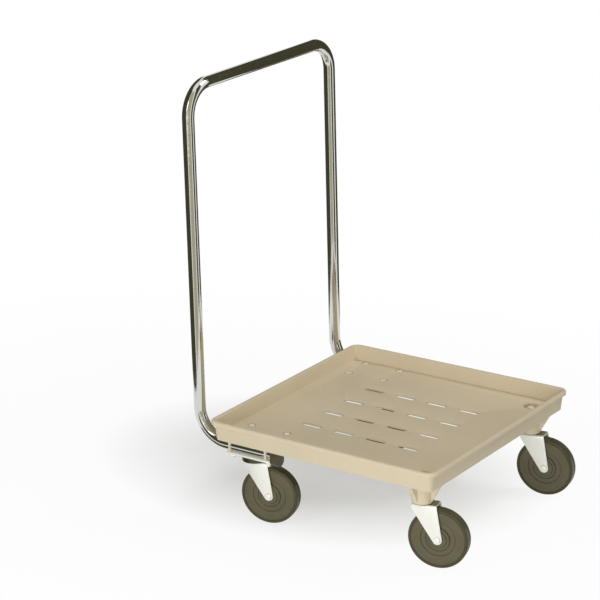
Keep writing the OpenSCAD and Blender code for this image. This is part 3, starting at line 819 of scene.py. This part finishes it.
    def channel(self, side):
        """Room for one end of the tube, from its end back and up round its low bend."""
        settings = bpy.context.scene.dolly_handle
        low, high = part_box("push_handle")
        radius = settings.tube_d / 2
        start = Vector((high.x + 0.5 * MM, SIDES[side] * (high.y - radius), low.z + radius))
        bend_x = low.x + radius + settings.low_bend
        bm = bmesh.new()
        ring = run(bm, tube_end(bm, start, radius + 0.05 * MM, 48), Vector((bend_x - start.x, 0, 0)))
        turn(bm, ring, (bend_x, start.y, start.z + settings.low_bend), (0, 1, 0))
        close_tube(bm)
        return bm

    def cap_room(self, side):
        """Room for the cap on one end of the tube."""
        gap = 0.3 * MM
        low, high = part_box(f"tube_cap_{side}")
        radius = (high.y - low.y) / 2
        bm = pillar(radius + gap, 0, high.x - low.x + 2 * gap, 48)
        place = shift(high.x + gap, (low.y + high.y) / 2, high.z - radius)
        return move(bm, place @ turned(-90, "Y"))


class DOLLY_OT_handle(bpy.types.Operator):
    """Push handle: one tube, bent up from under the tray, over the top and down again"""

    bl_idname = "dolly.handle"
    bl_label = "Push handle"

    def execute(self, context):
        settings = context.scene.dolly_handle
        low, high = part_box("push_handle")
        radius = settings.tube_d / 2
        bend, top = settings.low_bend, settings.top_bend
        back = low.x + radius
        side = high.y - radius
        base_z = low.z + radius
        bar_z = high.z - radius
        under = Vector((back + bend - high.x, 0, 0))
        leg = Vector((0, 0, bar_z - top - base_z - bend))
        bar = Vector((0, 2 * (side - top), 0))
        bm = bmesh.new()
        ring = tube_end(bm, (high.x, -side, base_z), radius, 40)
        for straight, centre, axis in (
            (under, (back + bend, -side, base_z + bend), (0, 1, 0)),
            (leg, (back, top - side, bar_z - top), (-1, 0, 0)),
            (bar, (back, side - top, bar_z - top), (-1, 0, 0)),
            (-leg, (back + bend, side, base_z + bend), (0, -1, 0)),
        ):
            ring = turn(bm, run(bm, ring, straight), centre, axis)
        run(bm, ring, -under)
        close_tube(bm)
        finish_piece(bm, "bent_push_tube", BODY, "chrome_tube", "push_handle")
        return {"FINISHED"}


class DOLLY_OT_caps(bpy.types.Operator):
    """Soft vinyl caps, pushed over the two ends of the tube"""

    bl_idname = "dolly.caps"
    bl_label = "Tube caps"

    def execute(self, context):
        lip, slope, proud, grip = 2.2 * MM, 0.5 * MM, 0.3 * MM, 0.1 * MM
        settings = context.scene.dolly_handle
        bore = settings.tube_d / 2
        outer = bore + settings.cap_wall
        for name in SIDES:
            node = f"tube_cap_{name}"
            low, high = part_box(node)
            long = high.x - low.x
            seat = long - lip
            bm = lathe([
                (0, 0), (bore * 0.35, proud), (outer - proud, proud), (outer - proud, seat),
                (outer, seat + slope), (outer, long), (bore - grip, long), (bore - grip, seat), (0, seat),
            ], 48)
            soften(bm, 1.6 * MM, 4, 60, level(0, proud))
            soften(bm, 0.35 * MM, 2, 30, level(seat, seat + slope, long))
            drop = (high.z - low.z) - 2 * outer
            for vert in bm.verts:
                in_bore = vert.co.z > seat - MERGE and vert.co.xy.length < bore
                if vert.co.x < -MERGE and not in_bore:
                    vert.co.x -= drop
            move(bm, shift(high.x, middle(node).y, high.z - outer) @ turned(-90, "Y"))
            face_out(bm)
            finish_piece(bm, f"vinyl_cap_{name}", BODY, "vinyl", node)
        return {"FINISHED"}


class DOLLY_OT_plates(bpy.types.Operator):
    """Rear caster plates with their bolts and nuts"""

    bl_idname = "dolly.plates"
    bl_label = "Plates and bolts"

    def execute(self, context):
        corner_r = 8 * MM
        for caster in REAR:
            low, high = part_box(f"{caster}_plate")
            size = high - low
            bm = sheet((low + high) / 2 - UP * size.z / 2, size.x, size.y)
            bevel(bm, bm.verts[:], corner_r, 7, "VERTICES")
            thicken(bm, UP * size.z)
            soften(bm, 0.6 * MM)
            finish_piece(bm, f"{caster}_top_plate", BODY, "zinc", f"{caster}_plate")
            nuts_low, nuts_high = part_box(f"{caster}_plate_nuts")
            bolts_low, bolts_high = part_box(f"{caster}_plate_bolts")
            seat = bolts_high.z - BOLT_HEAD
            nuts = bmesh.new()
            bolts = bmesh.new()
            for at in plate_bolts(caster):
                nut = hex_block(BOLT_FLATS, nuts_high.z - nuts_low.z, BOLT_R)
                add(nuts, move(nut, plumb(at, nuts_low.z)))
                add(bolts, move(hex_block(BOLT_FLATS, BOLT_HEAD), plumb(at, seat)))
                shank = pillar(BOLT_R, nuts_low.z + SINK, seat, 24)
                add(shank, threaded_rod(BOLT_R, BOLT_PITCH, bolts_low.z, nuts_low.z + 2 * SINK))
                add(bolts, move(shank, plumb(at)))
            finish_piece(nuts, f"{caster}_nut_set", BODY, "zinc", f"{caster}_plate_nuts")
            finish_piece(bolts, f"{caster}_bolt_set", BODY, "zinc", f"{caster}_plate_bolts")
        return {"FINISHED"}


class DOLLY_OT_stems(bpy.types.Operator):
    """Front caster stems with their washers and nuts, down in the tray's pockets"""

    bl_idname = "dolly.stems"
    bl_label = "Stems and nuts"

    def execute(self, context):
        stem_r, stem_pitch, nut_flats, nut_turn = 6.35 * MM, 1.9 * MM, 19 * MM, 20
        head_h, thread_l = 2.4 * MM, 12 * MM
        for caster in FRONT:
            place = plumb(middle(f"{caster}_stem"))
            low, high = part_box(f"{caster}_stem_nut")
            nut = hex_block(nut_flats, high.z - low.z, stem_r)
            move(nut, place @ shift(0, 0, low.z) @ turned(nut_turn, "Z"))
            finish_piece(nut, f"{caster}_lock_nut", BODY, "zinc", f"{caster}_stem_nut")
            low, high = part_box(f"{caster}_stem_washer")
            washer = collar(stem_r, (high.x - low.x) / 2, low.z, high.z, 48)
            soften(washer, 0.3 * MM)
            finish_piece(move(washer, place), f"{caster}_washer", BODY, "zinc", f"{caster}_stem_washer")
            low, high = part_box(f"{caster}_stem")
            head_r = (high.x - low.x) / 2
            head_top = low.z + head_h
            plain_top = high.z - thread_l
            body = lathe([
                (0, low.z), (head_r, low.z), (head_r, head_top), (stem_r, head_top), (stem_r, plain_top),
                (0, plain_top),
            ], 48)
            soften(body, 0.4 * MM)
            add(body, threaded_rod(stem_r, stem_pitch, plain_top - 2 * SINK, high.z, 32))
            finish_piece(move(body, place), f"{caster}_threaded_stem", BODY, "zinc", f"{caster}_stem")
        return {"FINISHED"}


class DOLLY_OT_cups(bpy.types.Operator):
    """Pressed bearing cups over the casters' balls"""

    bl_idname = "dolly.cups"
    bl_label = "Bearing cups"

    def execute(self, context):
        pin_r, sheet_t = 6 * MM, 1.5 * MM
        neck, slope, wall, flange = 24 * MM, 8 * MM, 17.5 * MM, 1.2 * MM
        for caster in CASTERS:
            node = f"{caster}_race_cup"
            low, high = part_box(node)
            outer = (high.x - low.x) / 2
            under = high.z - sheet_t
            if caster in REAR:
                skirt = high.z - slope
                outside = [(pin_r, high.z), (neck, high.z), (outer, skirt), (outer, low.z)]
                inside = [(outer - sheet_t, low.z), (outer - sheet_t, skirt), (neck - sheet_t, under)]
                bm = lathe([*outside, *inside, (pin_r, under)], 80)
                soften(bm, 1.4 * MM, 4, 15, beyond(neck - 2 * sheet_t))
            else:
                rim = low.z + flange
                outside = [(pin_r, high.z), (wall, high.z), (wall, rim), (outer, rim), (outer, low.z)]
                inside = [(wall - sheet_t, low.z), (wall - sheet_t, under)]
                bm = lathe([*outside, *inside, (pin_r, under)], 72)
                soften(bm, 0.4 * MM)
            finish_piece(move(bm, plumb(middle(node))), f"{caster}_bearing_cup", BODY, "race_steel", node)
        return {"FINISHED"}


class DOLLY_OT_forks(bpy.types.Operator):
    """Pressed sheet forks, folded over the wheels and cut to their slanted legs"""

    bl_idname = "dolly.forks"
    bl_label = "Caster forks"

    def execute(self, context):
        tip_r, fold_r, steps = 10 * MM, 5 * MM, 14
        back, front, shoulder = -18.2 * MM, 34 * MM, 10 * MM
        settings = context.scene.dolly_casters
        half = settings.fork_w / 2
        tip = Vector((settings.trail, 0, settings.wheel_d / 2))
        bottom = tip.z - 2 * tip_r
        for caster in CASTERS:
            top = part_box(f"{caster}_fork")[1].z
            bm = bmesh.new()
            corners = ((-half, bottom), (-half, top), (half, top), (half, bottom))
            verts = [bm.verts.new((back, y, z)) for y, z in corners]
            edges = [bm.edges.new(pair) for pair in zip(verts, verts[1:])]
            run(bm, edges, Vector((settings.trail + tip_r - back, 0, 0)))
            soften(bm, fold_r, 6, 60)
            first = self.tangent(Vector((front, 0, top)) - tip, tip_r, -1)
            last = self.tangent(Vector((back, 0, top - shoulder)) - tip, tip_r, 1)
            sweep = (first - last) % math.tau
            for step in (0, steps, *range(1, steps)):
                self.trim(bm, tip, first - sweep * step / steps, tip_r)
            face_out(bm)
            if sum(face.normal.z * face.calc_area() for face in bm.faces) < 0:
                bmesh.ops.reverse_faces(bm, faces=bm.faces)
            bmesh.ops.solidify(bm, geom=bm.faces[:], thickness=settings.fork_t)
            face_out(bm)
            soften(bm, 0.5 * MM, 2, 50)
            move(bm, swivel(caster))
            finish_piece(bm, f"{caster}_pressed_fork", f"{caster}_swivel", "zinc", f"{caster}_fork")
        return {"FINISHED"}

    def tangent(self, corner, radius, way):
        """The angle at which a line from corner touches the leg's rounded end."""
        return math.atan2(corner.z, corner.x) + way * math.acos(radius / corner.length)

    def trim(self, bm, centre, angle, radius):
        """Cuts off what lies beyond a tangent of the leg's rounded end."""
        out = Vector((math.cos(angle), 0, math.sin(angle)))
        bmesh.ops.bisect_plane(
            bm, geom=bm.verts[:] + bm.edges[:] + bm.faces[:], dist=MERGE, plane_co=centre + out * radius,
            plane_no=out, clear_outer=True,
        )


class DOLLY_OT_axles(bpy.types.Operator):
    """Axle bolts and lock nuts through the forks"""

    bl_idname = "dolly.axles"
    bl_label = "Axle bolts"

    def execute(self, context):
        half = context.scene.dolly_casters.fork_w / 2
        head_h, nut_h, end = 4.5 * MM, 7 * MM, 1.5 * MM
        ring_r, ring_h, hex_z = 5.4 * MM, 2.2 * MM, 1.6 * MM
        for caster in CASTERS:
            place, body = axle(caster), f"{caster}_swivel"
            bolt = move(hex_block(BOLT_FLATS, head_h), shift(0, 0, half))
            add(bolt, pillar(BOLT_R, -half, half, 24))
            add(bolt, threaded_rod(BOLT_R, BOLT_PITCH, -half - nut_h - end, SINK - half))
            finish_piece(move(bolt, place), f"{caster}_axle_screw", body, "zinc", f"{caster}_axle_bolt")
            nut = move(hex_block(BOLT_FLATS, nut_h - hex_z, BOLT_R), shift(0, 0, hex_z))
            ring = collar(BOLT_R, ring_r, 0, ring_h, 32)
            soften(ring, 0.5 * MM, 3)
            add(nut, ring)
            move(nut, place @ shift(0, 0, -half - nut_h))
            finish_piece(nut, f"{caster}_axle_lock_nut", body, "zinc", f"{caster}_axle_nut")
        return {"FINISHED"}


class DOLLY_OT_wheels(bpy.types.Operator):
    """Wheel cores with stepped hubs and recessed webs, and their tyres"""

    bl_idname = "dolly.wheels"
    bl_label = "Wheels"

    def execute(self, context):
        settings = context.scene.dolly_casters
        radius = settings.wheel_d / 2
        half = settings.wheel_w / 2
        core_r = radius - settings.tyre_t
        bore, hub_r, chamfer = 9 * MM, 18 * MM, 0.6 * MM
        hub = settings.fork_w / 2 - settings.fork_t - 0.5 * MM
        # Rings of a core's side, in mm: inner radius, outer radius, how far each stands out past the tread
        rings = ((18.6, 19.1, -0.4), (19.4, 24.3, 0.2), (24.7, 26, -3), (26.4, 36, -1.4), (36.2, 36.9, -2.2))
        side = [(bore, hub - chamfer), (bore + chamfer, hub), (hub_r, hub)]
        for start, end, out in rings:
            side += [(start * MM, half + out * MM), (end * MM, half + out * MM)]
        face = half - 0.4 * MM
        side += [(37.2 * MM, face), (core_r - chamfer, face), (core_r, half - 1 * MM)]
        nick, groove = 0.3 * MM, 0.5 * MM
        tread = [(core_r, half - nick), (core_r + nick, half), (radius, half), (radius, groove)]
        for caster in CASTERS:
            body = f"{caster}_wheel"
            core = lathe(side + mirrored(side), settings.steps)
            soften(core, 0.35 * MM, 3, 25)
            move(core, axle(caster))
            finish_piece(core, f"{caster}_moulded_core", body, "wheel_plastic", f"{caster}_wheel_core")
            tyre = lathe([*tread, (radius - nick, 0), *mirrored(tread)], settings.steps)
            soften(tyre, settings.shoulder, 6, 80, beyond(radius))
            move(tyre, axle(caster))
            finish_piece(tyre, f"{caster}_solid_tyre", body, "wheel_rubber", f"{caster}_tyre")
        return {"FINISHED"}


class DOLLY_OT_inner_parts(bpy.types.Operator):
    """Finishes for the parts inside the bearings and hubs, whose solids are kept"""

    bl_idname = "dolly.inner_parts"
    bl_label = "Inner parts"

    def execute(self, context):
        finishes = {
            "kingpin": "zinc",
            "race_balls": "ball_steel",
            "lower_race": "race_steel",
            "axle_sleeve": "race_steel",
            "wheel_bushing": "bushing_bronze",
        }
        for name, node in frame["nodes"].items():
            kind = next((kind for kind in finishes if name.endswith(kind)), None)
            if kind:
                node.data.materials.clear()
                node.data.materials.append(material_for(finishes[kind]))
        return {"FINISHED"}


class DOLLY_OT_stage(bpy.types.Operator):
    """Pale round floor, soft studio light and the camera"""

    bl_idname = "dolly.stage"
    bl_label = "Studio"

    def execute(self, context):
        scene = context.scene
        settings = scene.dolly_stage
        self.lay_floor(settings)
        self.light_all_round(scene, settings)
        for name, place, size, power in (
            ("key", (-0.8, -4.2, 2.8), 2.2, settings.key),
            ("top", (1.9, 1.7, 3.6), 1.3, settings.top),
            ("low", (1.2, -3.7, 0.65), 1.1, settings.low),
        ):
            self.soft_box(name, Vector(place), size, power)
        # Painted reflections: glowing panels round the set, seen only by metal and gloss, stand in for a
        # dark room
        for name, first, last, tone in (
            ("flag_behind", 150, 255, settings.dark_flag),
            ("flag_front", 265, 328, settings.grey_flag),
            ("flag_right", 345, 385, settings.dark_flag),
            ("flag_far", 412, 492, settings.dark_flag),
        ):
            self.flag(name, settings, math.radians(first), math.radians(last), tone)
        # Painted reflection: a dark card beside the handle's foot, seen only in metal and gloss, that
        # darkens the tube's lower side as shade would
        self.show_to_gloss("painted_reflection_card", sheet((-0.43, -0.38, 0.001), 0.34, 0.24), settings.dark_flag)
        self.set_camera(scene, settings.lens)
        scene.view_settings.view_transform = "Standard"
        return {"FINISHED"}

    def set_camera(self, scene, lens):
        """The camera at the photo's viewing angle."""
        place = Vector((2.5382, -3.8638, 2.0439))
        right = Vector((0.81821, 0.57439, -0.02456))
        up = Vector((-0.16667, 0.27787, 0.94605))
        camera = bpy.data.cameras.new("camera")
        camera.sensor_width = 36
        camera.lens = lens
        eye = put("camera", camera)
        facing = Matrix((right, up, right.cross(up))).transposed().to_4x4()
        eye.matrix_world = Matrix.Translation(place) @ facing
        scene.camera = eye

    def soft_box(self, name, place, size, power):
        """A square soft box that looks at the middle of the dolly."""
        look_at = Vector((0, 0, 0.4))
        light = bpy.data.lights.new(name, "AREA")
        light.size = size
        light.energy = power
        lamp = put(name, light)
        lamp.location = place
        lamp.rotation_mode = "QUATERNION"
        lamp.rotation_quaternion = (place - look_at).to_track_quat("Z", "Y")

    def lay_floor(self, settings):
        """The round floor: white away from the dolly; in an ellipse set where its shadow falls, it is less
        white and shows its lit shading, a painted shadow patch over the real shadow.
        """
        bm = bmesh.new()
        bmesh.ops.create_circle(bm, cap_ends=True, radius=settings.floor_r, segments=96)
        floor = put("studio_floor", mesh_of(bm, "studio_floor"))
        floor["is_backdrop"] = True
        finish = Finish("studio_floor")
        clouds = finish.spread(finish.noise(2.0), 0.3, 0.7)
        tint = finish.blend(clouds, shade(settings.floor, 0.99), settings.floor)
        finish.set(Base_Color=tint, Roughness=0.85, Specular_IOR_Level=0.1)
        # Painted shadow: a stretched ellipse, placed off to the left, inside which the floor shows less
        # white and more of its shading
        reach = finish.node("VectorMath", finish.stretched((0.72, 1.0, 1.0)), operation="DISTANCE")
        reach.inputs[1].default_value = (-0.18, 0.1, 0.0)
        shadow_patch = finish.spread(reach.outputs["Value"], 0.18, 0.4, 0.45, 0.94)
        far = finish.spread(reach.outputs["Value"], 0.4, 1.2, 0.0, 0.06)
        white = finish.joined("MULTIPLY", finish.joined("ADD", shadow_patch, far), plain_rays(finish.tree))
        both = finish.node("MixShader", white, finish.surface.outputs[0], finish.glow(WHITE))
        finish.show(both.outputs[0])
        floor.data.materials.append(finish.material)

    def light_all_round(self, scene, settings):
        """The world: soft light all round, seen as plain white."""
        studio = bpy.data.worlds.new("studio")
        studio.use_nodes = True
        tree = studio.node_tree
        tree.nodes.clear()
        fill = add_node(tree, "Background", Color=(*settings.fill_tint, 1.0), Strength=settings.fill)
        white = add_node(tree, "Background", Color=(*WHITE, 1.0), Strength=1.0)
        both = add_node(tree, "MixShader", plain_rays(tree), fill.outputs[0], white.outputs[0])
        add_node(tree, "OutputWorld", both.outputs[0])
        scene.world = studio

    def flag(self, name, settings, first, last, tone):
        """A tall curved panel beside the set, between two angles, which paints its tone into reflections."""
        bm = bmesh.new()
        foot = Vector((math.cos(first), math.sin(first), 0)) * settings.flag_r
        verts = [bm.verts.new(foot), bm.verts.new(foot + UP * settings.flag_h)]
        spin(bm, [*verts, bm.edges.new(verts)], ORIGIN, UP, last - first, 16)
        self.show_to_gloss(name, bm, tone)

    def show_to_gloss(self, name, bm, tone):
        """Makes a stage panel of bm that glows in a plain tone, casts no shadow and only metal and gloss
        reflect: a painted reflection, not a lamp.
        """
        panel = put(name, mesh_of(bm, name))
        panel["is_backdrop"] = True
        for ray in ("camera", "diffuse", "transmission", "volume_scatter", "shadow"):
            setattr(panel, f"visible_{ray}", False)
        finish = Finish(name)
        finish.show(finish.glow(tone))
        panel.data.materials.append(finish.material)


class DOLLY_PT_panel(bpy.types.Panel):
    """The dolly's settings and the buttons that make its pieces"""

    bl_idname = "DOLLY_PT_panel"
    bl_label = "Dish rack dolly"
    bl_space_type = "VIEW_3D"
    bl_region_type = "UI"
    bl_category = "Dolly"

    def draw(self, context):
        for name in SETTINGS:
            settings = getattr(context.scene, name)
            box = self.layout.box()
            for key in settings.__annotations__:
                box.prop(settings, key)
        for operator in OPERATORS:
            self.layout.operator(operator.bl_idname)


SETTINGS = {
    "dolly_tray": TraySettings,
    "dolly_handle": HandleSettings,
    "dolly_casters": CasterSettings,
    "dolly_stage": StageSettings,
}
OPERATORS = (
    DOLLY_OT_tray,
    DOLLY_OT_handle,
    DOLLY_OT_caps,
    DOLLY_OT_plates,
    DOLLY_OT_stems,
    DOLLY_OT_cups,
    DOLLY_OT_forks,
    DOLLY_OT_axles,
    DOLLY_OT_wheels,
    DOLLY_OT_inner_parts,
    DOLLY_OT_stage,
)
CLASSES = (*SETTINGS.values(), *OPERATORS, DOLLY_PT_panel)


def register():
    for cls in CLASSES:
        bpy.utils.register_class(cls)
    for name, group in SETTINGS.items():
        setattr(bpy.types.Scene, name, PointerProperty(type=group))


def unregister():
    for name in SETTINGS:
        delattr(bpy.types.Scene, name)
    for cls in reversed(CLASSES):
        bpy.utils.unregister_class(cls)


def main():
    register()
    for operator in OPERATORS:
        getattr(bpy.ops.dolly, operator.bl_idname.split(".")[1])()
    boxes = {"cad": cad_box, "visual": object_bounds()}
    {name: [list(corner) for corner in box] for name, box in boxes.items()}


if __name__ == "__main__":
    main()
